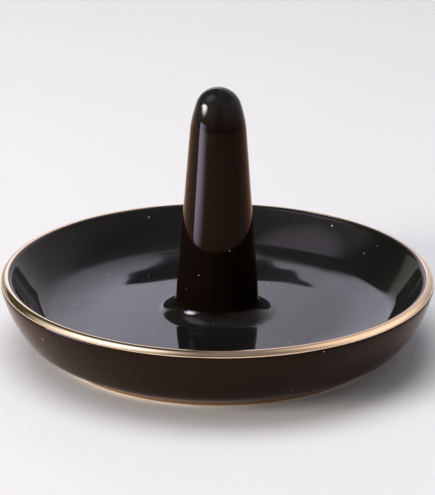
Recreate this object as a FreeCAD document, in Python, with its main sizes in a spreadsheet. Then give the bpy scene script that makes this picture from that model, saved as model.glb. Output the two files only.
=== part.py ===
"""Ring dish: a shallow glazed dish with a tapered post for finger rings, in millimetres.

The dish stands on its foot ring at Z = 0, and every piece turns about the Z axis. A fired clay dish
carries a hollow clay post, luted on with slip. One coat of glaze runs from the foot over the lip,
across the floor and up to the tip of the post, a second coat lies inside the foot ring, and a gold
band is fired over the lip. The sizes in the sheet are those of the finished, glazed surface.
"""
import FreeCAD
import Part

import math
import os
from collections import namedtuple

import Sketcher

# Driving dimensions: lengths in millimetres, angles in degrees.
SIZES = {
    # Dish
    "rim_diameter": "100.0",
    "rim_height": "17.1",
    "lip_thickness": "3.0",
    "flank_radius": "26.0",
    "belly_radius": "8.0",
    "underside_run": "1.7",
    "underside_slope": "15.0",
    # Inside of the dish, from the lip down to the flat of the floor
    "wall_lean": "31.0",
    "wall_radius": "34.0",
    "cove_radius": "6.0",
    "sweep_radius": "57.0",
    "floor_inset": "23.0",
    "floor_height": "6.9",
    # Foot ring and the hollow inside it
    "foot_inset": "10.5",
    "foot_height": "1.9",
    "foot_width": "3.2",
    "foot_round": "0.5",
    "base_recess": "2.7",
    "recess_round": "1.2",
    "vent_diameter": "4.0",
    # Post
    "post_base_diameter": "19.9",
    "post_height": "60.4",
    "post_shoulder_radius": "26.0",
    "post_tip_radius": "5.3",
    "post_tip_inset": "0.7",
    "post_wall": "3.6",
    # Slip that lutes the post to the dish
    "slip_bed": "0.5",
    "fillet_radius": "4.3",
    # Glaze and gold
    "glaze_thickness": "0.35",
    "bare_foot_height": "0.6",
    "bare_vent_margin": "1.0",
    "gold_thickness": "0.1",
    "gold_inner_edge": "100.0",
    "gold_outer_edge": "20.0",
}

# Places and sizes that several outlines share.
RIM_RADIUS = "Sizes.rim_diameter / 2"
LIP_RADIUS = "Sizes.lip_thickness / 2"
LIP_X = f"{RIM_RADIUS} - {LIP_RADIUS}"
LIP_Z = f"Sizes.rim_height - {LIP_RADIUS}"
FOOT_RADIUS = f"{RIM_RADIUS} - Sizes.foot_inset"
BELLY_X = (f"{FOOT_RADIUS} + Sizes.underside_run * cos(Sizes.underside_slope)"
           " - Sizes.belly_radius * sin(Sizes.underside_slope)")
WALL_X = f"{LIP_X} - (Sizes.wall_radius + {LIP_RADIUS}) * cos(Sizes.wall_lean)"
FLOOR_RADIUS = f"{RIM_RADIUS} - Sizes.floor_inset"
FOOT_CLAY_INNER = f"{FOOT_RADIUS} - Sizes.glaze_thickness - Sizes.foot_width"
RECESS_CLAY = "Sizes.base_recess + Sizes.glaze_thickness"
FLOOR_CLAY = "Sizes.floor_height - Sizes.glaze_thickness"
POST_RADIUS = "Sizes.post_base_diameter / 2"
TIP_Z = "Sizes.post_height - Sizes.post_tip_radius"
TIP_RISE = f"({TIP_Z} - Sizes.floor_height)"
# The angle at which the flank passes the tip's round at the tip inset.
POST_TAPER = (f"(acos((Sizes.post_tip_radius + Sizes.post_tip_inset) / hypot({POST_RADIUS}; {TIP_RISE}))"
              f" - atan2({TIP_RISE}; {POST_RADIUS}))")
POST_FOOT_Z = f"{FLOOR_CLAY} + Sizes.slip_bed"
POST_FOOT_X = (f"{POST_RADIUS} - Sizes.glaze_thickness / cos({POST_TAPER})"
               f" - (Sizes.slip_bed - Sizes.glaze_thickness) * tan({POST_TAPER})")
HOLLOW_FOOT_X = f"{POST_FOOT_X} - Sizes.post_wall / cos({POST_TAPER})"
HOLLOW_TOP_Z = "Sizes.post_height - Sizes.glaze_thickness - Sizes.post_wall"

# How far below the finished surface an outline lies, as a number and as a term of an expression.
Depth = namedtuple("Depth", "value term")
# An edge of a sketch, with the numbers of the ends where the outline enters and leaves it.
Edge = namedtuple("Edge", "index first last")

START, END, CENTRE = range(1, 4)
ORIGIN = (-1, START)
Z_AXIS_INDEX = -2

doc = FreeCAD.newDocument("ring_dish")
sheet = doc.addObject("Spreadsheet::Sheet", "Sizes")
for row, (alias, text) in enumerate(SIZES.items(), start=1):
    sheet.set(f"A{row}", alias)
    sheet.set(f"B{row}", text)
    sheet.setAlias(f"B{row}", alias)
doc.recompute()


def value_of(expression):
    """The number that an expression over the sheet gives."""
    return float(sheet.evalExpression(expression))


SURFACE = Depth(0.0, "0")
CLAY = Depth(sheet.glaze_thickness, "Sizes.glaze_thickness")
post_taper = value_of(POST_TAPER)


def along(point, distance, degrees):
    """The point at a distance from another one, in the direction of an angle."""
    angle = math.radians(degrees)
    return point[0] + distance * math.cos(angle), point[1] + distance * math.sin(angle)


def bearing(start, end):
    """The angle in degrees of the line from one point to another."""
    return math.degrees(math.atan2(end[1] - start[1], end[0] - start[0]))


def lip_centre():
    return value_of(LIP_X), value_of(LIP_Z)


def belly_centre():
    """Centre of the round between the wall's underside and its flank, at every depth."""
    foot_corner = (value_of(FOOT_RADIUS), sheet.foot_height)
    underside_end = along(foot_corner, sheet.underside_run, sheet.underside_slope)
    return along(underside_end, sheet.belly_radius, sheet.underside_slope + 90)


def flank_centre():
    """Centre of the wall's flank, which runs smoothly from the belly into the lip, at every depth."""
    belly, lip = belly_centre(), lip_centre()
    to_belly = sheet.flank_radius - sheet.belly_radius
    to_lip = sheet.flank_radius - value_of(LIP_RADIUS)
    span = math.dist(belly, lip)
    lead = (to_belly ** 2 - to_lip ** 2 + span ** 2) / (2 * span)
    turn = math.degrees(math.acos(lead / to_belly))
    return along(belly, to_belly, bearing(belly, lip) + turn)


def wall_centre():
    """Centre of the wall's inside, which leans outward where it meets the lip, at every depth."""
    return along(lip_centre(), sheet.wall_radius + value_of(LIP_RADIUS), 180 - sheet.wall_lean)


def sweep_centre():
    """Centre of the wide round that lifts the floor towards the wall, at every depth."""
    return value_of(FLOOR_RADIUS), sheet.floor_height + sheet.sweep_radius


def cove_centre():
    """Centre of the round between the floor's sweep and the wall's inside, at every depth."""
    wall, sweep = wall_centre(), sweep_centre()
    to_wall = sheet.wall_radius - sheet.cove_radius
    to_sweep = sheet.sweep_radius - sheet.cove_radius
    span = math.dist(wall, sweep)
    lead = (to_wall ** 2 - to_sweep ** 2 + span ** 2) / (2 * span)
    turn = math.degrees(math.acos(lead / to_wall))
    return along(wall, to_wall, bearing(wall, sweep) - turn)


def fillet_centre():
    """Centre of the hollow round between the floor and the post, at every depth."""
    taper = math.radians(post_taper)
    stand_off = sheet.fillet_radius * (1 - math.sin(taper)) / math.cos(taper)
    return sheet.post_base_diameter / 2 + stand_off, sheet.floor_height + sheet.fillet_radius


def tip_centre():
    return 0.0, value_of(TIP_Z)


def shoulder_centre():
    """Centre of the round between the post's flank and its tip, at every depth."""
    reach = sheet.post_shoulder_radius - sheet.post_tip_radius
    turn = math.acos((reach - sheet.post_tip_inset) / reach)
    return along(tip_centre(), -reach, post_taper + math.degrees(turn))


def new_sketch(body, plane, name):
    """An empty sketch on one of the body's own origin planes."""
    planes = {feature.Role: feature for feature in body.Origin.OriginFeatures}
    sketch = body.newObject("Sketcher::SketchObject", name)
    sketch.AttachmentSupport = [(planes[plane], "")]
    sketch.MapMode = "FlatFace"
    return sketch


class Outline:
    """A closed half section in a body's XZ plane, drawn edge by edge and tied to the sheet."""

    def __init__(self, body, name):
        self.sketch = new_sketch(body, "XZ_Plane", name)

    def line(self, start, end):
        segment = Part.LineSegment(FreeCAD.Vector(*start, 0), FreeCAD.Vector(*end, 0))
        return Edge(self.sketch.addGeometry(segment), START, END)

    def arc(self, centre, radius, start, end):
        """An arc from one angle to another, either way round."""
        circle = Part.Circle(FreeCAD.Vector(*centre, 0), FreeCAD.Vector(0, 0, 1), radius)
        low, high = sorted((math.radians(start), math.radians(end)))
        index = self.sketch.addGeometry(Part.ArcOfCircle(circle, low, high))
        return Edge(index, START, END) if start < end else Edge(index, END, START)

    def first_point(self, edge):
        point = self.sketch.getPoint(edge.index, edge.first)
        return point.x, point.y

    def last_point(self, edge):
        point = self.sketch.getPoint(edge.index, edge.last)
        return point.x, point.y

    def fix(self, kind, *references):
        return self.sketch.addConstraint(Sketcher.Constraint(kind, *references))

    def tie(self, expression, kind, *references):
        """Adds a dimension whose value is an expression over the sheet."""
        index = self.fix(kind, *references)
        name = f"size_{index}"
        self.sketch.renameConstraint(index, name)
        self.sketch.setExpression(f"Constraints.{name}", expression)

    def tie_x(self, edge, end, expression):
        self.tie(expression, "DistanceX", *ORIGIN, edge.index, end, value_of(expression))

    def tie_z(self, edge, end, expression):
        self.tie(expression, "DistanceY", *ORIGIN, edge.index, end, value_of(expression))

    def tie_radius(self, edge, expression):
        self.tie(expression, "Radius", edge.index, value_of(expression))

    def tie_angle(self, edge, expression):
        self.tie(expression, "Angle", edge.index, math.radians(value_of(expression)))

    def corner(self, edge, following):
        self.fix("Coincident", edge.index, edge.last, following.index, following.first)

    def smooth(self, edge, following):
        self.fix("Tangent", edge.index, edge.last, following.index, following.first)

    def level(self, edge):
        self.fix("Horizontal", edge.index)

    def upright(self, edge):
        self.fix("Vertical", edge.index)

    def on_axis(self, edge, end):
        self.fix("PointOnObject", edge.index, end, Z_AXIS_INDEX)


def draw_bowl(outline, depth, floor_end):
    """Draws the dish from the top of its foot, under the wall, over the lip and in along the floor."""
    slope = math.radians(sheet.underside_slope)
    corner_rise = depth.value * (1 - math.sin(slope)) / math.cos(slope)
    corner = (value_of(FOOT_RADIUS) - depth.value, sheet.foot_height + corner_rise)
    lip, flank, belly = lip_centre(), flank_centre(), belly_centre()
    wall, cove, sweep = wall_centre(), cove_centre(), sweep_centre()
    belly_radius = sheet.belly_radius - depth.value
    belly_start = sheet.underside_slope - 90
    belly_turn = bearing(flank, belly)
    flank_turn = bearing(flank, lip)
    wall_turn = bearing(wall, cove)
    sweep_turn = bearing(sweep, cove)

    underside = outline.line(corner, along(belly, belly_radius, belly_start))
    belly_arc = outline.arc(belly, belly_radius, belly_start, belly_turn)
    flank_arc = outline.arc(flank, sheet.flank_radius - depth.value, belly_turn, flank_turn)
    lip_arc = outline.arc(lip, value_of(LIP_RADIUS) - depth.value, flank_turn, 180 - sheet.wall_lean)
    wall_arc = outline.arc(wall, sheet.wall_radius + depth.value, -sheet.wall_lean, wall_turn)
    cove_arc = outline.arc(cove, sheet.cove_radius + depth.value, wall_turn, sweep_turn)
    sweep_arc = outline.arc(sweep, sheet.sweep_radius + depth.value, sweep_turn, -90)
    floor_height = sheet.floor_height - depth.value
    floor = outline.line((sweep[0], floor_height), (floor_end, floor_height))

    chain = [underside, belly_arc, flank_arc, lip_arc, wall_arc, cove_arc, sweep_arc, floor]
    for edge, following in zip(chain, chain[1:]):
        outline.smooth(edge, following)
    outline.tie_x(underside, underside.first, f"{FOOT_RADIUS} - {depth.term}")
    outline.tie_z(underside, underside.first,
                  f"Sizes.foot_height + {depth.term} * (1 - sin(Sizes.underside_slope))"
                  " / cos(Sizes.underside_slope)")
    outline.tie_angle(underside, "Sizes.underside_slope")
    outline.tie_x(belly_arc, CENTRE, BELLY_X)
    outline.tie_radius(belly_arc, f"Sizes.belly_radius - {depth.term}")
    outline.tie_radius(flank_arc, f"Sizes.flank_radius - {depth.term}")
    outline.tie_x(lip_arc, CENTRE, LIP_X)
    outline.tie_z(lip_arc, CENTRE, LIP_Z)
    outline.tie_radius(lip_arc, f"{LIP_RADIUS} - {depth.term}")
    outline.tie_x(wall_arc, CENTRE, WALL_X)
    outline.tie_radius(wall_arc, f"Sizes.wall_radius + {depth.term}")
    outline.tie_radius(cove_arc, f"Sizes.cove_radius + {depth.term}")
    outline.tie_x(sweep_arc, CENTRE, FLOOR_RADIUS)
    outline.tie_radius(sweep_arc, f"Sizes.sweep_radius + {depth.term}")
    outline.level(floor)
    outline.tie_z(floor, floor.first, f"Sizes.floor_height - {depth.term}")
    return underside, floor


def draw_fillet(outline, depth):
    """Draws the hollow round from the floor up to the post's flank."""
    radius = sheet.fillet_radius + depth.value
    fillet = outline.arc(fillet_centre(), radius, 270, 180 + post_taper)
    outline.tie_radius(fillet, f"Sizes.fillet_radius + {depth.term}")
    return fillet


def draw_post(outline, depth, flank_start):
    """Draws the post from a point of its flank, round the shoulder and up to the tip on the axis."""
    shoulder, tip = shoulder_centre(), tip_centre()
    shoulder_radius = sheet.post_shoulder_radius - depth.value
    turn = bearing(shoulder, tip)
    flank = outline.line(flank_start, along(shoulder, shoulder_radius, post_taper))
    shoulder_arc = outline.arc(shoulder, shoulder_radius, post_taper, turn)
    tip_arc = outline.arc(tip, sheet.post_tip_radius - depth.value, turn, 90)

    outline.smooth(flank, shoulder_arc)
    outline.smooth(shoulder_arc, tip_arc)
    outline.tie_angle(flank, f"90 deg + {POST_TAPER}")
    outline.tie_radius(shoulder_arc, f"Sizes.post_shoulder_radius - {depth.term}")
    outline.tie_radius(tip_arc, f"Sizes.post_tip_radius - {depth.term}")
    outline.on_axis(tip_arc, CENTRE)
    outline.tie_z(tip_arc, CENTRE, TIP_Z)
    outline.on_axis(tip_arc, tip_arc.last)
    return flank, tip_arc


def draw_coat_side(outline, depth):
    """Draws one side of the main coat, from the bare foot to the tip of the post."""
    foot_x = value_of(FOOT_RADIUS) - depth.value
    fillet_foot = fillet_centre()[0]
    underside, floor = draw_bowl(outline, depth, fillet_foot)
    foot_wall = outline.line((foot_x, sheet.bare_foot_height), outline.first_point(underside))
    fillet = draw_fillet(outline, depth)
    flank, tip_arc = draw_post(outline, depth, outline.last_point(fillet))

    outline.corner(foot_wall, underside)
    outline.upright(foot_wall)
    outline.tie_z(foot_wall, foot_wall.first, "Sizes.bare_foot_height")
    outline.smooth(floor, fillet)
    outline.smooth(fillet, flank)
    outline.tie_x(fillet, CENTRE,
                  f"{POST_RADIUS} + Sizes.fillet_radius * (1 - sin({POST_TAPER})) / cos({POST_TAPER})")
    return foot_wall, tip_arc


def new_body(name):
    body = doc.addObject("PartDesign::Body", name)
    body.Label = name
    return body


def revolve(body, outline):
    """Turns an outline round the Z axis into the body's solid."""
    turned = body.newObject("PartDesign::Revolution", f"{body.Name}_turned")
    turned.Profile = outline.sketch
    turned.ReferenceAxis = (outline.sketch, ["V_Axis"])
    turned.Angle = 360
    outline.sketch.Visibility = False
    return turned


def cut_vent(body):
    """Cuts the round hole through the dish's floor that lets air out of the hollow post in firing."""
    sketch = new_sketch(body, "XY_Plane", "vent_circle")
    ring = Part.Circle(FreeCAD.Vector(), FreeCAD.Vector(0, 0, 1), sheet.vent_diameter / 2)
    circle = sketch.addGeometry(ring)
    sketch.addConstraint(Sketcher.Constraint("Coincident", circle, CENTRE, *ORIGIN))
    diameter = sketch.addConstraint(Sketcher.Constraint("Diameter", circle, sheet.vent_diameter))
    sketch.renameConstraint(diameter, "vent_diameter")
    sketch.setExpression("Constraints.vent_diameter", "Sizes.vent_diameter")
    vent = body.newObject("PartDesign::Pocket", "vent")
    vent.Profile = sketch
    vent.Type = "ThroughAll"
    vent.Midplane = True
    return vent


def make_dish_body():
    """The clay dish, with its foot ring, the hollow under it and the vent to the post's inside."""
    body = new_body("dish_body")
    outline = Outline(body, "dish_section")
    recess = value_of(RECESS_CLAY)
    inner = value_of(FOOT_CLAY_INNER)
    outer = value_of(FOOT_RADIUS) - CLAY.value
    foot_round, recess_round = sheet.foot_round, sheet.recess_round

    underside, floor = draw_bowl(outline, CLAY, 0.0)
    middle = outline.line(outline.last_point(floor), (0, recess))
    ceiling = outline.line((0, recess), (inner - recess_round, recess))
    recess_arc = outline.arc((inner - recess_round, recess - recess_round), recess_round, 90, 0)
    inner_wall = outline.line((inner, recess - recess_round), (inner, foot_round))
    inner_edge = outline.arc((inner + foot_round, foot_round), foot_round, 180, 270)
    sole = outline.line((inner + foot_round, 0), (outer - foot_round, 0))
    outer_edge = outline.arc((outer - foot_round, foot_round), foot_round, 270, 360)
    outer_wall = outline.line((outer, foot_round), outline.first_point(underside))

    outline.corner(floor, middle)
    outline.corner(middle, ceiling)
    rounded = [ceiling, recess_arc, inner_wall, inner_edge, sole, outer_edge, outer_wall]
    for edge, following in zip(rounded, rounded[1:]):
        outline.smooth(edge, following)
    outline.corner(outer_wall, underside)
    outline.on_axis(middle, middle.first)
    outline.upright(middle)
    outline.level(ceiling)
    outline.upright(inner_wall)
    outline.level(sole)
    outline.upright(outer_wall)
    outline.tie_z(ceiling, ceiling.first, RECESS_CLAY)
    outline.tie_radius(recess_arc, "Sizes.recess_round")
    outline.tie_x(inner_wall, inner_wall.first, FOOT_CLAY_INNER)
    outline.tie_radius(inner_edge, "Sizes.foot_round")
    outline.tie_radius(outer_edge, "Sizes.foot_round")
    outline.tie_z(sole, sole.first, "0")
    dish = revolve(body, outline)
    vent = cut_vent(body)
    doc.recompute()
    if vent.Shape.Volume >= dish.Shape.Volume:
        raise RuntimeError("the vent cuts nothing out of the dish")
    return body


def make_ring_post():
    """The hollow clay post, open at its foot and closed by a rounded tip."""
    body = new_body("ring_post")
    outline = Outline(body, "post_section")
    foot_height = value_of(POST_FOOT_Z)
    hollow_foot = (value_of(HOLLOW_FOOT_X), foot_height)
    hollow_top = value_of(HOLLOW_TOP_Z)
    taper = math.radians(post_taper)
    tip_radius = hollow_foot[0] * math.cos(taper) + (foot_height - hollow_top) * math.sin(taper)
    tip_radius /= 1 - math.sin(taper)
    tip_centre_height = hollow_top - tip_radius

    flank, tip_arc = draw_post(outline, CLAY, (value_of(POST_FOOT_X), foot_height))
    middle = outline.line(outline.last_point(tip_arc), (0, hollow_top))
    hollow_tip = outline.arc((0, tip_centre_height), tip_radius, 90, post_taper)
    hollow_flank = outline.line(outline.last_point(hollow_tip), hollow_foot)
    foot = outline.line(hollow_foot, outline.first_point(flank))

    outline.corner(tip_arc, middle)
    outline.corner(middle, hollow_tip)
    outline.smooth(hollow_tip, hollow_flank)
    outline.corner(hollow_flank, foot)
    outline.corner(foot, flank)
    outline.upright(middle)
    outline.level(foot)
    outline.fix("Parallel", hollow_flank.index, flank.index)
    outline.on_axis(hollow_tip, CENTRE)
    outline.tie_z(hollow_tip, hollow_tip.first, HOLLOW_TOP_Z)
    outline.tie_x(foot, foot.first, HOLLOW_FOOT_X)
    outline.tie_x(foot, foot.last, POST_FOOT_X)
    outline.tie_z(foot, foot.first, POST_FOOT_Z)
    revolve(body, outline)
    return body


def make_joint_slip():
    """The slip that lutes the post on: a bed under its foot and a hollow round beside it."""
    body = new_body("joint_slip")
    outline = Outline(body, "slip_section")
    floor_height, bed_top = value_of(FLOOR_CLAY), value_of(POST_FOOT_Z)
    hollow_x, foot_x = value_of(HOLLOW_FOOT_X), value_of(POST_FOOT_X)

    fillet = draw_fillet(outline, CLAY)
    underside = outline.line((hollow_x, floor_height), outline.first_point(fillet))
    seat = outline.line(outline.last_point(fillet), (foot_x, bed_top))
    bed = outline.line((foot_x, bed_top), (hollow_x, bed_top))
    bore = outline.line((hollow_x, bed_top), (hollow_x, floor_height))

    outline.smooth(underside, fillet)
    outline.smooth(fillet, seat)
    outline.corner(seat, bed)
    outline.corner(bed, bore)
    outline.corner(bore, underside)
    outline.level(underside)
    outline.level(bed)
    outline.upright(bore)
    outline.tie_angle(seat, f"{POST_TAPER} - 90 deg")
    outline.tie_z(underside, underside.first, FLOOR_CLAY)
    outline.tie_x(bed, bed.first, POST_FOOT_X)
    outline.tie_x(bed, bed.last, HOLLOW_FOOT_X)
    outline.tie_z(bed, bed.first, POST_FOOT_Z)
    revolve(body, outline)
    return body


def make_glaze_coat():
    """The main coat of glaze, from the bare foot over the lip and floor to the tip of the post."""
    body = new_body("glaze_coat")
    outline = Outline(body, "glaze_section")
    outer_foot, outer_tip = draw_coat_side(outline, SURFACE)
    inner_foot, inner_tip = draw_coat_side(outline, CLAY)
    middle = outline.line(outline.last_point(outer_tip), outline.last_point(inner_tip))
    edge = outline.line(outline.first_point(inner_foot), outline.first_point(outer_foot))

    outline.corner(outer_tip, middle)
    outline.fix("Coincident", middle.index, middle.last, inner_tip.index, inner_tip.last)
    outline.fix("Coincident", edge.index, edge.first, inner_foot.index, inner_foot.first)
    outline.corner(edge, outer_foot)
    revolve(body, outline)
    return body


def make_underside_glaze():
    """The coat inside the foot ring, wiped back from the vent and from the sole of the foot."""
    body = new_body("underside_glaze")
    outline = Outline(body, "underside_section")
    recess, inner = value_of(RECESS_CLAY), value_of(FOOT_CLAY_INNER)
    glaze, recess_round = CLAY.value, sheet.recess_round
    bare_x = sheet.vent_diameter / 2 + sheet.bare_vent_margin
    centre = (inner - recess_round, recess - recess_round)

    clay_ceiling = outline.line((bare_x, recess), (centre[0], recess))
    clay_arc = outline.arc(centre, recess_round, 90, 0)
    clay_wall = outline.line((inner, centre[1]), (inner, sheet.bare_foot_height))
    skirt = outline.line((inner, sheet.bare_foot_height), (inner - glaze, sheet.bare_foot_height))
    wall = outline.line((inner - glaze, sheet.bare_foot_height), (inner - glaze, centre[1]))
    arc = outline.arc(centre, recess_round - glaze, 0, 90)
    ceiling = outline.line((centre[0], recess - glaze), (bare_x, recess - glaze))
    rim = outline.line((bare_x, recess - glaze), (bare_x, recess))

    outline.smooth(clay_ceiling, clay_arc)
    outline.smooth(clay_arc, clay_wall)
    outline.corner(clay_wall, skirt)
    outline.corner(skirt, wall)
    outline.smooth(wall, arc)
    outline.smooth(arc, ceiling)
    outline.corner(ceiling, rim)
    outline.corner(rim, clay_ceiling)
    for edge in (clay_ceiling, skirt, ceiling):
        outline.level(edge)
    for edge in (clay_wall, wall, rim):
        outline.upright(edge)
    outline.tie_x(rim, rim.first, "Sizes.vent_diameter / 2 + Sizes.bare_vent_margin")
    outline.tie_z(rim, rim.first, "Sizes.base_recess")
    outline.tie_z(rim, rim.last, RECESS_CLAY)
    outline.tie_x(skirt, skirt.first, FOOT_CLAY_INNER)
    outline.tie_x(skirt, skirt.last, f"{FOOT_CLAY_INNER} - Sizes.glaze_thickness")
    outline.tie_z(skirt, skirt.first, "Sizes.bare_foot_height")
    outline.tie_radius(clay_arc, "Sizes.recess_round")
    outline.tie_radius(arc, "Sizes.recess_round - Sizes.glaze_thickness")
    revolve(body, outline)
    return body


def make_gold_rim():
    """The gold band over the lip, from just inside its crest to its outer side."""
    body = new_body("gold_rim")
    outline = Outline(body, "gold_section")
    lip, under_radius = lip_centre(), value_of(LIP_RADIUS)
    over_radius = under_radius + sheet.gold_thickness
    inner_angle, outer_angle = sheet.gold_inner_edge, sheet.gold_outer_edge

    under = outline.arc(lip, under_radius, outer_angle, inner_angle)
    inner_edge = outline.line(along(lip, under_radius, inner_angle), along(lip, over_radius, inner_angle))
    over = outline.arc(lip, over_radius, inner_angle, outer_angle)
    outer_edge = outline.line(along(lip, over_radius, outer_angle), along(lip, under_radius, outer_angle))

    band = [under, inner_edge, over, outer_edge]
    for edge, following in zip(band, band[1:] + band[:1]):
        outline.corner(edge, following)
    for arc in (under, over):
        outline.tie_x(arc, CENTRE, LIP_X)
        outline.tie_z(arc, CENTRE, LIP_Z)
    outline.tie_radius(under, LIP_RADIUS)
    outline.tie_radius(over, f"{LIP_RADIUS} + Sizes.gold_thickness")
    outline.tie_angle(inner_edge, "Sizes.gold_inner_edge")
    outline.tie_angle(outer_edge, "Sizes.gold_outer_edge - 180")
    outline.fix("PointOnObject", under.index, CENTRE, inner_edge.index)
    outline.fix("PointOnObject", under.index, CENTRE, outer_edge.index)
    revolve(body, outline)
    return body


pieces = [
    make_dish_body(),
    make_ring_post(),
    make_joint_slip(),
    make_glaze_coat(),
    make_underside_glaze(),
    make_gold_rim(),
]
doc.recompute()

for item in doc.Objects:
    if "Invalid" in item.State or "Error" in item.State:
        raise RuntimeError(f"{item.Name} did not build: {item.State}")
    if item.isDerivedFrom("Sketcher::SketchObject") and not item.FullyConstrained:
        raise RuntimeError(f"{item.Name} is not fully constrained")
for piece in pieces:
    if piece.Shape.isNull() or not piece.Shape.isValid() or len(piece.Shape.Solids) != 1:
        raise RuntimeError(f"{piece.Label} is not one sound solid")

os.makedirs("parts", exist_ok=True)
for piece in pieces:
    piece.Placement = FreeCAD.Placement()
    piece.Shape.exportStep(f"parts/{piece.Label}.step")
    box = piece.Shape.optimalBoundingBox()
    print(f"{piece.Label}: {piece.Shape.Volume / 1000:.2f} cm3, "
          f"{box.XLength:.1f} x {box.YLength:.1f} x {box.ZLength:.1f} mm")
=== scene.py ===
# %% [markdown]
# # A black ring dish with a gold lip
# The dish is one rigid piece of glazed pottery: a shallow bowl on a foot ring, with a tapered post in its
# middle for finger rings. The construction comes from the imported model, so the first cell loads that
# model as a fixed frame. Everything below is drawn in the same place and at the same size, in metres.

import math

import bpy
from mathutils import Euler, Matrix, Vector


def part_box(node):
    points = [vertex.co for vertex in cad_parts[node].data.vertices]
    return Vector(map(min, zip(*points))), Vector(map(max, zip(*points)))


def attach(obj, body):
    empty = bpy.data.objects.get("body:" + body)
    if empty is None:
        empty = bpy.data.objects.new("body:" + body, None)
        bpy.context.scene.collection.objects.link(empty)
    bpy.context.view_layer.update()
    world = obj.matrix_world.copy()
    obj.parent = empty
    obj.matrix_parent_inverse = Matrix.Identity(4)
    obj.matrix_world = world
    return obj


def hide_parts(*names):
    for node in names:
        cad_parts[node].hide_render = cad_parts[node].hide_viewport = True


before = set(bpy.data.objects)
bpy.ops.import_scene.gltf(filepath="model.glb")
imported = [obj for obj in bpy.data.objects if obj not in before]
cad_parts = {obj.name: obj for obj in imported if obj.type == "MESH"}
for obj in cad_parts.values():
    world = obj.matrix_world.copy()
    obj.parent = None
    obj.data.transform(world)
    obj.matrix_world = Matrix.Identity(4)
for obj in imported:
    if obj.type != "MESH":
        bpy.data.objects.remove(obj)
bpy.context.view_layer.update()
MM = 0.001
print("nodes:", ", ".join(sorted(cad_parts)))

# %% [markdown]
# ## The camera
# A product shot of something this small is taken from arm's length with a long lens. The place, tilt
# and focal length below make the rim's ellipse, the foot's arc and the outline of the post fall where
# they do in the photograph. The small roll is the tilt of a camera held in the hand.

# %% Camera
CAMERA_PLACE = (0.0, -369.4 * MM, 154.0 * MM)
CAMERA_PITCH = math.radians(70.39)
CAMERA_ROLL = math.radians(0.37)
LENS_MM = 123.45
SENSOR_MM = 36.0

camera_data = bpy.data.cameras.new("camera")
camera_data.lens = LENS_MM
camera_data.sensor_width = SENSOR_MM
camera = bpy.data.objects.new("camera", camera_data)
bpy.context.scene.collection.objects.link(camera)
camera.location = CAMERA_PLACE
pitched = Euler((CAMERA_PITCH, 0, 0)).to_matrix()
camera.rotation_euler = (pitched @ Matrix.Rotation(CAMERA_ROLL, 3, "Z")).to_euler()
bpy.context.scene.camera = camera
print("camera at", [round(value, 3) for value in camera.location])

# %% [markdown]
# ## The sizes of the pot
# A potter would note a handful of sizes: the rim, the lip, the curves of the wall, the foot and the post.
# The outside sizes are read off the frame, and the others repeat the construction's own values. Round
# stretches are kept as a centre and a radius, because that is how the section is drawn further down.

# %% Sizes
lowest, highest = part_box("glaze_coat")
rim_radius = highest.x
post_height = highest.z
bare_foot_height = lowest.z
gold_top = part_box("gold_rim")[1].z

glaze_thickness = 0.35 * MM
gold_thickness = 0.1 * MM
rim_height = gold_top - gold_thickness
lip_radius = 1.5 * MM
flank_radius = 26.0 * MM
belly_radius = 8.0 * MM
underside_run = 1.7 * MM
underside_slope = 15.0
foot_inset = 10.5 * MM
foot_radius = rim_radius - foot_inset
foot_height = 1.9 * MM
foot_width = 3.2 * MM
wall_lean = 31.0
wall_radius = 34.0 * MM
cove_radius = 6.0 * MM
sweep_radius = 57.0 * MM
floor_inset = 23.0 * MM
floor_radius = rim_radius - floor_inset
floor_height = 6.9 * MM
post_radius = 9.95 * MM
tip_radius = 5.3 * MM
tip_inset = 0.7 * MM
shoulder_radius = 26.0 * MM
fillet_radius = 4.3 * MM
print(f"rim {rim_radius * 2 / MM:.1f} mm, lip at {rim_height / MM:.1f} mm, post {post_height / MM:.1f} mm")


# %% [markdown]
# ## Centres of the round stretches
# Each round runs smoothly into its neighbours, so its centre follows from theirs. Two circles that touch
# from inside have centres as far apart as the difference of their radii, and the rest is a triangle.

# %% Centres
def along(point, distance, degrees):
    """The point at a distance from another one, in the direction of an angle."""
    angle = math.radians(degrees)
    return Vector((point[0] + distance * math.cos(angle), point[1] + distance * math.sin(angle)))


def bearing(start, end):
    """The angle in degrees of the line from one point to another."""
    return math.degrees(math.atan2(end[1] - start[1], end[0] - start[0]))


def meet(first, first_reach, second, second_reach):
    """The point at given distances from two others, on the left of the line from first to second."""
    span = (second - first).length
    lead = (first_reach ** 2 - second_reach ** 2 + span ** 2) / (2 * span)
    return along(first, first_reach, bearing(first, second) + math.degrees(math.acos(lead / first_reach)))


lip = Vector((rim_radius - lip_radius, rim_height - lip_radius))
underside_end = along((foot_radius, foot_height), underside_run, underside_slope)
belly = along(underside_end, belly_radius, underside_slope + 90)
flank = meet(belly, flank_radius - belly_radius, lip, flank_radius - lip_radius)
wall = along(lip, wall_radius + lip_radius, 180 - wall_lean)
sweep = Vector((floor_radius, floor_height + sweep_radius))
cove = meet(sweep, sweep_radius - cove_radius, wall, wall_radius - cove_radius)

tip = Vector((0, post_height - tip_radius))
tip_rise = tip.y - floor_height
taper = math.acos((tip_radius + tip_inset) / math.hypot(post_radius, tip_rise))
taper = math.degrees(taper - math.atan2(tip_rise, post_radius))
shoulder_reach = shoulder_radius - tip_radius
shoulder_turn = math.degrees(math.acos((shoulder_reach - tip_inset) / shoulder_reach))
shoulder = along(tip, -shoulder_reach, taper + shoulder_turn)

half_taper = math.radians(45 - taper / 2)
fillet = Vector((post_radius + fillet_radius * math.tan(half_taper), floor_height + fillet_radius))
print(f"the post tapers {taper:.2f} degrees a side, the floor is flat to {floor_radius / MM:.1f} mm")


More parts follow.
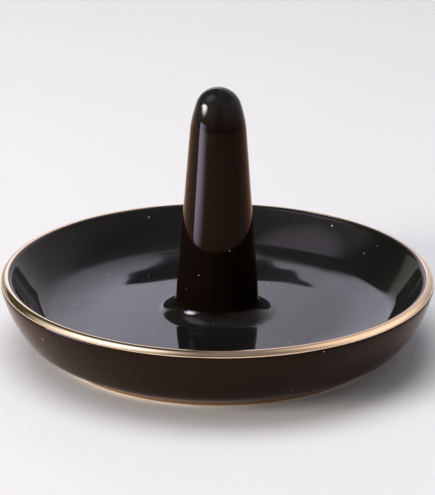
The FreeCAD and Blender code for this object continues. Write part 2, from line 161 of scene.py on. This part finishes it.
# %% [markdown]
# ## A pen for half sections
# Pots are round, so every piece here is a half section spun about the upright axis, as clay turns on a
# wheel. The section could be typed in as points, but a round would then be a list of numbers. Drawn with
# operators it stays a drawing: a single vertex is extruded for a straight stretch and spun about a centre
# for a round one, and the finished line is spun about the axis at the end.

# %% Section pen
ROUND_STEP = 4.0
COARSE_STEP = 10.0
SMALL_ROUND_STEP = 15.0
TURN_STEPS = 240
MERGE_DISTANCE = 0.001 * MM
SHARP_ANGLE = math.radians(40.0)


def start_section(name, radius, height):
    """Starts a piece as one vertex of its half section, in edit mode."""
    bpy.ops.object.select_all(action="DESELECT")
    bpy.ops.mesh.primitive_plane_add(size=MM)
    piece = bpy.context.object
    piece.name = name
    piece.data.name = name
    bpy.ops.object.mode_set(mode="EDIT")
    bpy.ops.mesh.select_all(action="SELECT")
    bpy.ops.mesh.merge(type="CENTER")
    bpy.ops.transform.translate(value=(radius, 0, height))
    return piece


def pen_place():
    """Radius and height of the vertex that the pen is at."""
    piece = bpy.context.object
    piece.update_from_editmode()
    chosen = [vertex.co for vertex in piece.data.vertices if vertex.select]
    return Vector((chosen[0].x, chosen[0].z))


def line_to(radius, height):
    """Draws a straight stretch."""
    step = Vector((radius, height)) - pen_place()
    bpy.ops.mesh.extrude_region_move(TRANSFORM_OT_translate={"value": (step.x, 0, step.y)})


def arc(centre, degrees, step=ROUND_STEP):
    """Draws a round stretch about a centre, anticlockwise where the angle is positive."""
    steps = max(2, round(abs(degrees) / step))
    bpy.ops.mesh.spin(steps=steps, angle=math.radians(degrees), center=(centre[0], 0, centre[1]),
                      axis=(0, 1, 0))


def turn_section():
    """Spins the section about the upright axis, closes the seam and poles, and leaves edit mode."""
    bpy.ops.mesh.select_all(action="SELECT")
    bpy.ops.mesh.spin(steps=TURN_STEPS, angle=2 * math.pi, center=(0, 0, 0), axis=(0, 0, 1))
    bpy.ops.mesh.select_all(action="SELECT")
    bpy.ops.mesh.remove_doubles(threshold=MERGE_DISTANCE)
    bpy.ops.mesh.normals_make_consistent(inside=False)
    bpy.ops.object.mode_set(mode="OBJECT")
    bpy.ops.object.shade_smooth_by_angle(angle=SHARP_ANGLE)
    piece = bpy.context.object
    print(f"{piece.name}: {len(piece.data.polygons)} faces")


# %% [markdown]
# ## The black glaze
# The glaze is what one sees: a single coat of melted glass from just above the foot, over the lip, across
# the floor and up to the tip of the post. It ends in a rounded bead above the bare foot and pools in the
# corner under the wall, and both catch the light as thin lines. The wide rounds get fine steps, so that
# what they mirror stays smooth.

# %% Glaze section
BELLY_STEP = 2.0
FLANK_STEP = 1.5
WALL_STEP = 1.0
SWEEP_STEP = 0.75
SHOULDER_STEP = 1.0
FLOOR_STRETCHES = 6
POST_STRETCHES = 12

bead_radius = 0.14 * MM
pool_radius = 0.6 * MM
slope = math.radians(underside_slope)
corner_share = (1 - math.sin(slope)) / math.cos(slope)
pool = Vector((foot_radius + pool_radius, foot_height - pool_radius * corner_share))
belly_turn = bearing(flank, belly)
flank_turn = bearing(flank, lip)
wall_turn = bearing(wall, cove)
sweep_turn = bearing(sweep, cove)
tip_turn = bearing(shoulder, tip)

black_glaze = start_section("black_glaze", foot_radius - glaze_thickness, bare_foot_height)
line_to(foot_radius - bead_radius, bare_foot_height)
arc((foot_radius - bead_radius, bare_foot_height + bead_radius), 90, SMALL_ROUND_STEP)
line_to(foot_radius, pool.y)
arc(pool, underside_slope - 90, COARSE_STEP)
line_to(*along(belly, belly_radius, underside_slope - 90))
arc(belly, belly_turn - underside_slope + 90, BELLY_STEP)
arc(flank, flank_turn - belly_turn, FLANK_STEP)
arc(lip, 180 - wall_lean - flank_turn)
arc(wall, wall_turn + wall_lean, WALL_STEP)
arc(cove, sweep_turn - wall_turn)
arc(sweep, -90 - sweep_turn, SWEEP_STEP)
for stretch in range(1, FLOOR_STRETCHES + 1):
    line_to(floor_radius + (fillet.x - floor_radius) * stretch / FLOOR_STRETCHES, floor_height)
arc(fillet, taper - 90)
flank_foot = pen_place()
flank_top = along(shoulder, shoulder_radius, taper)
for stretch in range(1, POST_STRETCHES + 1):
    line_to(*flank_foot.lerp(flank_top, stretch / POST_STRETCHES))
arc(shoulder, tip_turn - taper, SHOULDER_STEP)
arc(tip, 90 - tip_turn)
turn_section()

# %% [markdown]
# ## Hand unevenness
# A pressed and dipped pot is never true to a hair. Where the glaze swells by a few hundredths of a
# millimetre, the streaks mirrored in the bowl turn ragged, and without that the bowl looks like moulded
# plastic. A bump in the material could fake it, but a Displace modifier with a soft cloud texture puts the
# swell in the mesh. A Solidify modifier then gives the coat its thickness inwards, so that the outside keeps
# its section.

# %% Hand unevenness
swell_width = 13.0 * MM
swell_height = 0.1 * MM

swell_texture = bpy.data.textures.new("hand_unevenness", "CLOUDS")
swell_texture.noise_scale = swell_width
swell_texture.noise_depth = 1
swelling = black_glaze.modifiers.new("unevenness", "DISPLACE")
swelling.texture = swell_texture
swelling.strength = swell_height
swelling.mid_level = 0.5
bpy.ops.object.modifier_apply(modifier="unevenness")
print("uneven glaze box", [round(value / MM, 2) for value in black_glaze.dimensions])

# %% Glaze thickness
thickness = black_glaze.modifiers.new("thickness", "SOLIDIFY")
thickness.thickness = glaze_thickness
thickness.offset = -1
bpy.ops.object.modifier_apply(modifier="thickness")
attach(black_glaze, "root")
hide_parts("glaze_coat")
print("black glaze box", [round(value / MM, 2) for value in black_glaze.dimensions])

# %% [markdown]
# ## The gold band
# Gold lustre is brushed over the fired glaze on a turntable and fired again, so it follows the lip and thins
# out at both edges. It could be a painted area of the glaze, but a band of its own keeps a clean edge from
# every side. The outer arc stops short of the inner one, which makes the feathered edges.

# %% Gold section
gold_inner_edge = 100.0
gold_outer_edge = 20.0
gold_feather = 6.0
gold_radius = lip_radius + gold_thickness

gold_band = start_section("gold_band", *along(lip, lip_radius, gold_outer_edge))
arc(lip, gold_inner_edge - gold_outer_edge)
line_to(*along(lip, gold_radius, gold_inner_edge - gold_feather))
arc(lip, gold_outer_edge - gold_inner_edge + 2 * gold_feather)
line_to(*along(lip, lip_radius, gold_outer_edge))
turn_section()
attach(gold_band, "root")
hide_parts("gold_rim")

# %% [markdown]
# ## The clay dish
# Under the glaze sits the fired clay, which shows only where the foot ring was wiped clean. It is drawn
# whole, as the potter turned it: the vent in the middle, the hollow under the floor, the foot ring, and then
# the inside of the glaze all the way round and back to the vent.

# %% Clay section
vent_radius = 2.0 * MM
hollow_height = 2.7 * MM
recess_height = hollow_height + glaze_thickness
recess_round = 1.2 * MM
foot_round = 0.5 * MM
clay_foot = foot_radius - glaze_thickness
inner_foot = clay_foot - foot_width
ceiling_round = (inner_foot - recess_round, recess_height - recess_round)

clay_dish = start_section("clay_dish", vent_radius, recess_height)
line_to(ceiling_round[0], recess_height)
arc(ceiling_round, -90, SMALL_ROUND_STEP)
line_to(inner_foot, foot_round)
arc((inner_foot + foot_round, foot_round), 90, SMALL_ROUND_STEP)
line_to(clay_foot - foot_round, 0)
arc((clay_foot - foot_round, foot_round), 90, SMALL_ROUND_STEP)
line_to(clay_foot, foot_height + glaze_thickness * corner_share)
line_to(*along(belly, belly_radius - glaze_thickness, underside_slope - 90))
arc(belly, belly_turn - underside_slope + 90)
arc(flank, flank_turn - belly_turn)
arc(lip, 180 - wall_lean - flank_turn, COARSE_STEP)
arc(wall, wall_turn + wall_lean)
arc(cove, sweep_turn - wall_turn)
arc(sweep, -90 - sweep_turn)
line_to(vent_radius, floor_height - glaze_thickness)
line_to(vent_radius, recess_height)
turn_section()
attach(clay_dish, "root")
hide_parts("dish_body")

# %% [markdown]
# ## The glaze under the foot
# The hollow inside the foot ring is glazed too, wiped back from the sole and from the vent. Its bare edges
# end in the same small bead as the coat outside.

# %% Underside section
bare_vent_margin = 1.0 * MM
hole_radius = vent_radius + bare_vent_margin
coat_radius = inner_foot - glaze_thickness

foot_hollow_glaze = start_section("foot_hollow_glaze", hole_radius, recess_height)
line_to(ceiling_round[0], recess_height)
arc(ceiling_round, -90, SMALL_ROUND_STEP)
line_to(inner_foot, bare_foot_height)
line_to(coat_radius + bead_radius, bare_foot_height)
arc((coat_radius + bead_radius, bare_foot_height + bead_radius), -90, SMALL_ROUND_STEP)
line_to(coat_radius, ceiling_round[1])
arc(ceiling_round, 90, SMALL_ROUND_STEP)
line_to(hole_radius + bead_radius, hollow_height)
arc((hole_radius + bead_radius, hollow_height + bead_radius), -90, SMALL_ROUND_STEP)
line_to(hole_radius, recess_height)
turn_section()
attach(foot_hollow_glaze, "root")
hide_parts("underside_glaze")


# %% [markdown]
# ## Shared shader effects
# Three effects serve the finishes: a slow unevenness, fine specks and the streaks that a brush leaves round
# the axis. Each could be drawn anew in every material, but as a node group it is built once and placed with
# its own values. All put out a value from 0 to 1, and read Object coordinates in metres, so a scale of 100
# is a centimetre.

# %% Node helpers
def feed(tree, socket, value):
    """Links another node's output to a socket, or sets the socket to a plain value."""
    if isinstance(value, bpy.types.NodeSocket):
        tree.links.new(value, socket)
    else:
        socket.default_value = value


def add_node(tree, kind, values=None, **settings):
    """Adds a node, with its settings and what goes into its sockets."""
    node = tree.nodes.new(kind)
    for name, value in settings.items():
        setattr(node, name, value)
    for name, value in (values or {}).items():
        feed(tree, node.inputs[name], value)
    return node


def maths(tree, operation, *values, clamped=False):
    """What a Math node makes of up to three values."""
    node = add_node(tree, "ShaderNodeMath", dict(enumerate(values)), operation=operation, use_clamp=clamped)
    return node.outputs["Value"]


def measure(tree, operation, *vectors):
    """The number that a Vector Math node makes of one or two vectors."""
    node = add_node(tree, "ShaderNodeVectorMath", dict(enumerate(vectors)), operation=operation)
    return node.outputs["Value"]


def ramp(tree, value, start, end, low=0.0, high=1.0, smooth=False):
    """Maps a value between start and end to one between low and high, and goes no further."""
    ends = {"From Min": start, "From Max": end, "To Min": low, "To Max": high}
    curve = "SMOOTHSTEP" if smooth else "LINEAR"
    node = add_node(tree, "ShaderNodeMapRange", {"Value": value, **ends}, interpolation_type=curve)
    return node.outputs["Result"]


def new_group(name, inputs, outputs):
    """An empty shader node group, with the sockets that it is given and those of its results."""
    group = bpy.data.node_groups.new(name, "ShaderNodeTree")
    group.interface.new_socket("Vector", in_out="INPUT", socket_type="NodeSocketVector")
    for label, value in inputs.items():
        socket = group.interface.new_socket(label, in_out="INPUT", socket_type="NodeSocketFloat")
        socket.default_value = value
    for label in outputs:
        group.interface.new_socket(label, in_out="OUTPUT", socket_type="NodeSocketFloat")
    return group, group.nodes.new("NodeGroupInput").outputs, group.nodes.new("NodeGroupOutput").inputs


# %% Unevenness group
uneven, given, result = new_group("slow_unevenness", {"Scale": 100.0, "Detail": 3.0}, ["Value"])
cloud = add_node(uneven, "ShaderNodeTexNoise", {"Vector": given["Vector"], "Scale": given["Scale"],
                                                "Detail": given["Detail"], "Roughness": 0.5})
feed(uneven, result["Value"], cloud.outputs["Fac"])
print("group:", uneven.name)

# %% Specks group
specks, given, result = new_group("fine_specks", {"Scale": 250.0, "Size": 0.08, "Rarity": 0.9}, ["Mask"])
cells = add_node(specks, "ShaderNodeTexVoronoi", {"Vector": given["Vector"], "Scale": given["Scale"]})
chance = add_node(specks, "ShaderNodeSeparateColor", {"Color": cells.outputs["Color"]})
chosen = maths(specks, "GREATER_THAN", chance.outputs["Red"], given["Rarity"])
near = maths(specks, "LESS_THAN", cells.outputs["Distance"], given["Size"])
feed(specks, result["Mask"], maths(specks, "MULTIPLY", chosen, near))
print("group:", specks.name)

# %% Turning marks group
marks, given, result = new_group("turning_marks", {"Across": 3000.0, "Along": 3.0}, ["Value"])
split = add_node(marks, "ShaderNodeSeparateXYZ", {"Vector": given["Vector"]})
reach = measure(marks, "LENGTH", given["Vector"])
angle = maths(marks, "ARCTAN2", split.outputs["Y"], split.outputs["X"])
rolled = add_node(marks, "ShaderNodeCombineXYZ", {
    "X": maths(marks, "MULTIPLY", angle, given["Along"]),
    "Y": maths(marks, "MULTIPLY", reach, given["Across"]),
    "Z": maths(marks, "MULTIPLY", split.outputs["Z"], given["Across"]),
})
streaks = add_node(marks, "ShaderNodeTexNoise",
                   {"Vector": rolled.outputs["Vector"], "Scale": 1.0, "Detail": 2.0})
feed(marks, result["Value"], streaks.outputs["Fac"])
print("group:", marks.name)


# %% [markdown]
# ## Where the glaze lies thick
# Melted glaze runs off what is steep and gathers on what is level: it lies thick in the bowl, on the tip of
# the post and in the hollow under the foot, and thin down the post, on the outside and over the edge of the
# foot. The places could be painted by hand, but the section is known, so two more groups work them out from
# a point's radius and height.

# %% Pooling group
bowl_edge_radius = 40.0 * MM
bowl_edge_lean = 0.5
bowl_edge_blend = 0.5 * MM
post_edge = (9.6 * MM, 11.0 * MM)
tip_start = (52.0 * MM, 58.5 * MM)
underside_start = (5.0 * MM, 4.0 * MM)

pooling, given, result = new_group("glaze_pooling", {}, ["Pooled", "Inside"])
spot = add_node(pooling, "ShaderNodeSeparateXYZ", {"Vector": given["Vector"]}).outputs
flat_spot = add_node(pooling, "ShaderNodeCombineXYZ", {"X": spot["X"], "Y": spot["Y"]})
radius = measure(pooling, "LENGTH", flat_spot.outputs["Vector"])
bowl_edge = maths(pooling, "MULTIPLY_ADD", spot["Z"], bowl_edge_lean, bowl_edge_radius)
in_bowl = ramp(pooling, maths(pooling, "SUBTRACT", bowl_edge, radius), -bowl_edge_blend, bowl_edge_blend)
off_post = ramp(pooling, radius, *post_edge)
below = ramp(pooling, spot["Z"], *underside_start)
on_tip = ramp(pooling, spot["Z"], *tip_start)
level = maths(pooling, "MULTIPLY", in_bowl, maths(pooling, "MAXIMUM", off_post, below))
feed(pooling, result["Pooled"], maths(pooling, "MAXIMUM", level, on_tip))
feed(pooling, result["Inside"], in_bowl)
print("group:", pooling.name)

# %% Foot edge group
# This mask places the tan at the foot edge, which is partly a painted reflection of the warm floor in the
# crease.
foot_edge, given, result = new_group("foot_edge", {"Low": 1.5 * MM, "High": 2.3 * MM}, ["Mask"])
edge_spot = add_node(foot_edge, "ShaderNodeSeparateXYZ", {"Vector": given["Vector"]})
fade = ramp(foot_edge, edge_spot.outputs["Z"], given["Low"], given["High"], low=1.0, high=0.0)
feed(foot_edge, result["Mask"], fade)
print("group:", foot_edge.name)


# %% [markdown]
# ## Helpers for the finishes
# Every finish starts the same way: a shader, the place on the piece, and effects that are mixed by masks.
# These short functions do that, so that each finish below reads as a recipe. A Mix node has a set of sockets
# for each kind of value, and its colour sockets are found by their numbers.

# %% Material helpers
FIRST_COLOUR = 6
SECOND_COLOUR = 7
MIXED_COLOUR = 2


def new_material(name):
    """A node material, with its tree, the sockets of its shader and the place on the piece."""
    material = bpy.data.materials.new(name)
    material.use_nodes = True
    tree = material.node_tree
    place = add_node(tree, "ShaderNodeTexCoord")
    return material, tree, tree.nodes["Principled BSDF"].inputs, place.outputs["Object"]


def add_effect(tree, group, place, **values):
    """Places one of the shared effects in a material and gives back its first output."""
    return add_node(tree, "ShaderNodeGroup", {"Vector": place, **values}, node_tree=group).outputs[0]


def blend_colours(tree, mask, first, second):
    """A colour between two others, by a mask. Each is a colour or another node's output."""
    mix = add_node(tree, "ShaderNodeMix", {"Factor": mask}, data_type="RGBA")
    for number, colour in ((FIRST_COLOUR, first), (SECOND_COLOUR, second)):
        feed(tree, mix.inputs[number], (*colour, 1) if isinstance(colour, tuple) else colour)
    return mix.outputs[MIXED_COLOUR]


def spread(tree, mask, low, high):
    """Maps a mask from 0 to 1 to a range of values."""
    return ramp(tree, mask, 0.0, 1.0, low, high)


def add_bump(tree, shader, height, distance, strength, before=None):
    """Raises the surface by a height map, on top of another bump where there is one."""
    values = {"Height": height, "Distance": distance, "Strength": strength}
    if before is not None:
        values["Normal"] = before
    bump = add_node(tree, "ShaderNodeBump", values)
    feed(tree, shader["Normal"], bump.outputs["Normal"])
    return bump.outputs["Normal"]


def finish_with(material, *pieces):
    """Gives pieces a material in place of what they had."""
    for piece in pieces:
        piece.data.materials.clear()
        piece.data.materials.append(material)
    print("finish:", material.name)


# %% [markdown]
# ## Black glaze finish
# The glaze is an iron black. Where it lies thick it is deep and mirrors the room like glass, which a clear
# coat gives. Where it has run thin the iron tints what it throws back brown, and a share of metal keeps that
# tint at a glancing view. At the edge of the foot the glaze runs thin over the clay, and the tan there is
# also a painted reflection of the warm floor in the crease. One flat colour would miss all three, so the
# masks mix them. The surface has a faint orange peel too, and a few specks of dust fired in.

# %% Black glaze
POOLED_BLACK = (0.009, 0.0095, 0.0105)
POST_BLACK = (0.009, 0.0052, 0.0034)
POST_BROWN = (0.015, 0.0085, 0.0055)
OUTSIDE_BROWN = (0.014, 0.0082, 0.0056)
# The foot edge tan is thin glaze and also a painted reflection of the warm floor mirrored in the crease.
FOOT_EDGE_TAN_WITH_PAINTED_REFLECTION = (0.21, 0.12, 0.07)
DUST_GREY = (0.50, 0.48, 0.45)
IRON_TINT = (1.0, 0.58, 0.38, 1)
OUTSIDE_LUSTRE = 0.2
POST_LUSTRE = 0.5
POOLED_COAT = 0.55

glaze_material, tree, shader, place = new_material("iron_black_glaze")
depth = add_effect(tree, uneven, place, Scale=60.0, Detail=2.0)
peel = add_effect(tree, uneven, place, Scale=130.0, Detail=1.0)
dust = add_effect(tree, specks, place, Scale=300.0, Size=0.06, Rarity=0.65)
pooled = add_effect(tree, pooling, place)
inside = pooled.node.outputs["Inside"]
edge = add_effect(tree, foot_edge, place)

body = blend_colours(tree, depth, POST_BLACK, POST_BROWN)
body = blend_colours(tree, inside, OUTSIDE_BROWN, body)
body = blend_colours(tree, pooled, body, POOLED_BLACK)
# Thin glaze at the foot edge, with a painted reflection of the warm floor mixed into its tan.
body = blend_colours(tree, edge, body, FOOT_EDGE_TAN_WITH_PAINTED_REFLECTION)
lustre = spread(tree, inside, OUTSIDE_LUSTRE, POST_LUSTRE)
for cover in (pooled, edge, dust):
    lustre = maths(tree, "SUBTRACT", lustre, cover, clamped=True)

feed(tree, shader["Base Color"], blend_colours(tree, dust, body, DUST_GREY))
feed(tree, shader["Metallic"], lustre)
feed(tree, shader["Coat Weight"], spread(tree, pooled, 0.0, POOLED_COAT))
feed(tree, shader["Roughness"], spread(tree, depth, 0.03, 0.09))
shader["Specular IOR Level"].default_value = 0.12
shader["Specular Tint"].default_value = IRON_TINT
shader["Coat IOR"].default_value = 1.5
shader["Coat Roughness"].default_value = 0.05
peeled = add_bump(tree, shader, peel, distance=0.03 * MM, strength=0.3)
add_bump(tree, shader, dust, distance=0.05 * MM, strength=0.6, before=peeled)
finish_with(glaze_material, black_glaze, foot_hollow_glaze)

# %% [markdown]
# ## Gold finish
# Fired gold is a film of metal. It is bright and a little rosy, and the brush leaves fine streaks round the
# lip that stretch the highlights. Both the colour and the roughness follow those streaks.

# %% Gold
DEEP_GOLD = (0.80, 0.50, 0.29)
PALE_GOLD = (1.0, 0.81, 0.63)
ROSE_GOLD = (0.97, 0.70, 0.49)

gold_material, tree, shader, place = new_material("brushed_gold_lustre")
brush = add_effect(tree, marks, place, Across=2500.0, Along=4.0)
pool_of_gold = add_effect(tree, uneven, place, Scale=120.0, Detail=2.0)
streaked = blend_colours(tree, brush, DEEP_GOLD, PALE_GOLD)
feed(tree, shader["Base Color"], blend_colours(tree, pool_of_gold, streaked, ROSE_GOLD))
feed(tree, shader["Roughness"], spread(tree, brush, 0.05, 0.14))
shader["Metallic"].default_value = 1.0
add_bump(tree, shader, brush, distance=0.01 * MM, strength=0.3)
finish_with(gold_material, gold_band)


# %% [markdown]
# ## Clay and slip finishes
# The bare clay is a cream stoneware, dry to the touch, with fine dark grains. The slip that joins the post is
# the same clay thinned with water, so it is smoother and paler.

# %% Clay and slip
CLAY_SHADE = (0.66, 0.55, 0.42)
CLAY_CREAM = (0.82, 0.72, 0.58)
SLIP_SHADE = (0.74, 0.64, 0.52)
SLIP_CREAM = (0.84, 0.76, 0.64)
GRAIN_BROWN = (0.35, 0.24, 0.16)


def clay_finish(name, shade, cream, grain_size):
    """A dry fired clay with fine dark grains."""
    material, tree, shader, place = new_material(name)
    tone = add_effect(tree, uneven, place, Scale=350.0, Detail=5.0)
    grains = add_effect(tree, specks, place, Scale=1600.0, Size=grain_size, Rarity=0.75)
    surface = blend_colours(tree, tone, shade, cream)
    feed(tree, shader["Base Color"], blend_colours(tree, grains, surface, GRAIN_BROWN))
    feed(tree, shader["Roughness"], spread(tree, tone, 0.75, 0.95))
    add_bump(tree, shader, tone, distance=0.05 * MM, strength=0.5)
    return material


clay_material = clay_finish("bare_stoneware", CLAY_SHADE, CLAY_CREAM, grain_size=0.25)
slip_material = clay_finish("joint_slip_clay", SLIP_SHADE, SLIP_CREAM, grain_size=0.12)
finish_with(clay_material, clay_dish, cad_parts["ring_post"])
finish_with(slip_material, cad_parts["joint_slip"])

# %% [markdown]
# ## The studio floor
# The dish stands on a plain pale floor, which reaches far enough to be the background too. It is matt with
# a slight mottle, so that it takes a soft shadow and the glaze mirrors it without a pattern.

# %% Floor
FLOOR_REACH = 6.0
FLOOR_GREY = (0.90, 0.90, 0.91)
FLOOR_WHITE = (0.92, 0.92, 0.93)

bpy.ops.object.select_all(action="DESELECT")
bpy.ops.mesh.primitive_circle_add(vertices=96, radius=FLOOR_REACH, fill_type="NGON")
studio_floor = bpy.context.object
studio_floor.name = "studio_floor"
floor_material, tree, shader, place = new_material("pale_floor")
mottle = add_effect(tree, uneven, place, Scale=20.0, Detail=4.0)
feed(tree, shader["Base Color"], blend_colours(tree, mottle, FLOOR_GREY, FLOOR_WHITE))
shader["Roughness"].default_value = 0.9
shader["Specular IOR Level"].default_value = 0.2
finish_with(floor_material, studio_floor)

# %% [markdown]
# ## Room light
# Gloss shows nothing but what it mirrors, so the room's light is a colour by direction. A bright window
# behind the dish makes its floor grey, and dimmer sides leave its wall and the post dark. A dark corner and
# a soft skylight at the left draw the band and the sheen on the right of the bowl. A picture of a room could
# do the same, but a few named colours are easier to follow and to change.

# %% Room colours
FRONT_LIGHT = (0.09, 0.09, 0.09)
WINDOW_LIGHT = (1.40, 1.38, 1.64)
LEFT_LIGHT = (0.38, 0.37, 0.31)
BACK_RIGHT_LIGHT = (0.71, 0.69, 0.77)
RIGHT_LIGHT = (0.44, 0.41, 0.42)
LOW_BACK_LIGHT = (0.40, 0.38, 0.36)
CEILING_LIGHT = (0.21, 0.21, 0.23)
DARK_CORNER = (0.06, 0.07, 0.04)
SKYLIGHT = (1.15, 1.12, 1.40)

# %% Room directions
BACK_START = (-0.1, 0.6)
WINDOW_SILL = (0.05, 0.32)
WINDOW_RIGHT_EDGE = (-0.12, 0.14)
LEFT_START = (-0.15, -0.5)
RIGHT_START = (0.15, 0.7)
CEILING_START = (0.54, 0.80)
CEILING_SLANT = 0.1
CORNER_START = (0.53, 0.62)
CORNER_SLANT = -0.58
CORNER_RIGHT_EDGE = (0.0, -0.05)
CORNER_FRONT_EDGE = (0.1, 0.35)
SKYLIGHT_PLACE = (-0.528, -0.046, 0.848)
SKYLIGHT_EDGE = (0.92, 0.99)

# %% Room
world = bpy.data.worlds.new("room")
world.use_nodes = True
bpy.context.scene.world = world
tree = world.node_tree
direction = add_node(tree, "ShaderNodeTexCoord").outputs["Generated"]
to_right, to_back, upwards = add_node(tree, "ShaderNodeSeparateXYZ", {"Vector": direction}).outputs
under_ceiling = maths(tree, "MULTIPLY_ADD", to_right, CEILING_SLANT, upwards)
above_corner = maths(tree, "MULTIPLY_ADD", to_right, CORNER_SLANT, upwards)
to_skylight = measure(tree, "DOT_PRODUCT", direction, SKYLIGHT_PLACE)


def side(value, edge):
    """A soft mask of the directions past an edge, which is given by where it starts and ends."""
    return ramp(tree, value, *edge, smooth=True)


corner = maths(tree, "MULTIPLY", side(to_right, CORNER_RIGHT_EDGE), side(to_back, CORNER_FRONT_EDGE))
corner = maths(tree, "MULTIPLY", corner, side(above_corner, CORNER_START))
back = blend_colours(tree, side(upwards, WINDOW_SILL), LOW_BACK_LIGHT, WINDOW_LIGHT)
back = blend_colours(tree, side(to_right, WINDOW_RIGHT_EDGE), back, BACK_RIGHT_LIGHT)
around = blend_colours(tree, side(to_back, BACK_START), FRONT_LIGHT, back)
for mask, colour in (
    (side(to_right, LEFT_START), LEFT_LIGHT),
    (side(to_right, RIGHT_START), RIGHT_LIGHT),
    (side(under_ceiling, CEILING_START), CEILING_LIGHT),
    (corner, DARK_CORNER),
    (side(to_skylight, SKYLIGHT_EDGE), SKYLIGHT),
):
    around = blend_colours(tree, mask, around, colour)
feed(tree, tree.nodes["Background"].inputs["Color"], around)
print("room:", world.name)


# %% [markdown]
# ## Lamps
# A wide lamp overhead lights everything evenly, and a low one at the left warms the outside. A softbox makes
# the bright spot at the tip of the post, and a strip the long highlight down its side. Both fade towards an
# edge, as a cloth front does, and light linking keeps them to the glaze. Two pale cards, a cool one and a
# warm one, are there for the gold alone, because metal looks like metal only when it has something bright to
# mirror.

# %% Lamp helpers
def add_lamp(name, shape, size, place, target, energy, colour=(1.0, 1.0, 1.0)):
    """A flat lamp at a place, turned towards a target and never seen by the camera itself."""
    data = bpy.data.lights.new(name, "AREA")
    data.shape = shape
    data.size, data.size_y = size
    data.energy = energy
    data.color = colour
    lamp = bpy.data.objects.new(name, data)
    bpy.context.scene.collection.objects.link(lamp)
    lamp.location = place
    lamp.rotation_euler = (Vector(target) - Vector(place)).to_track_quat("-Z", "Y").to_euler()
    lamp.visible_camera = False
    print("lamp:", name)
    return lamp


def shine_only_on(lamp, piece):
    """Keeps a lamp's light and its mirror image to one piece."""
    lit = bpy.data.collections.new(f"lit_by_{lamp.name}")
    lit.objects.link(piece)
    lamp.light_linking.receiver_collection = lit


def fade_lamp(lamp, centre, core, edge):
    """Lets a lamp fade away from a point of its face, which runs from 0 to 1 both ways."""
    lamp.data.use_nodes = True
    tree = lamp.data.node_tree
    face = add_node(tree, "ShaderNodeNewGeometry").outputs["Parametric"]
    away = measure(tree, "DISTANCE", face, centre)
    strength = ramp(tree, away, core, edge, low=1.0, high=0.0, smooth=True)
    feed(tree, tree.nodes["Emission"].inputs["Strength"], strength)


# %% Even light
dish_middle = (0, 0, 20 * MM)

overhead = add_lamp("overhead_light", "ELLIPSE", size=(1.0, 1.0), place=(-0.15, 0.15, 1.2),
                    target=dish_middle, energy=8.0)
fill = add_lamp("fill_light", "ELLIPSE", size=(0.4, 0.4), place=(-0.85, -0.40, 0.22),
                target=dish_middle, energy=9.0, colour=(1.0, 0.92, 0.84))
for lamp in (overhead, fill):
    lamp.visible_glossy = False

# %% Highlights on the glaze
FACE_CENTRE = (0.5, 0.5, 0)
FACE_SIDE = (0, 0.5, 0)
post_middle = (0, 0, 30 * MM)
post_top = (0, 0, 50 * MM)

softbox = add_lamp("softbox", "ELLIPSE", size=(0.55, 0.27), place=(-0.66, -0.156, 0.280),
                   target=post_top, energy=14.0, colour=(0.85, 0.93, 1.0))
strip = add_lamp("strip_light", "RECTANGLE", size=(0.090, 0.059), place=(-0.110, -0.064, 0.030),
                 target=post_middle, energy=0.65, colour=(0.34, 0.51, 1.0))
fade_lamp(softbox, FACE_CENTRE, core=0.12, edge=0.5)
fade_lamp(strip, FACE_SIDE, core=0.2, edge=1.0)
for lamp in (softbox, strip):
    lamp.visible_diffuse = False
    shine_only_on(lamp, black_glaze)

# %% Cards for the gold
left_card = add_lamp("left_card", "RECTANGLE", size=(1.2, 1.2), place=(-0.55, -0.08, 0.58),
                     target=dish_middle, energy=5.0, colour=(0.82, 0.93, 1.0))
right_card = add_lamp("right_card", "RECTANGLE", size=(1.2, 1.2), place=(0.576, 0.15, 0.535),
                      target=dish_middle, energy=4.0, colour=(1.0, 0.92, 0.80))
for lamp in (left_card, right_card):
    fade_lamp(lamp, FACE_CENTRE, core=0.1, edge=0.6)
    shine_only_on(lamp, gold_band)

# %% [markdown]
# ## Colour view
# The colours are shown as they are written, without a film look.

# %% Finish
bpy.context.scene.view_settings.view_transform = "Standard"
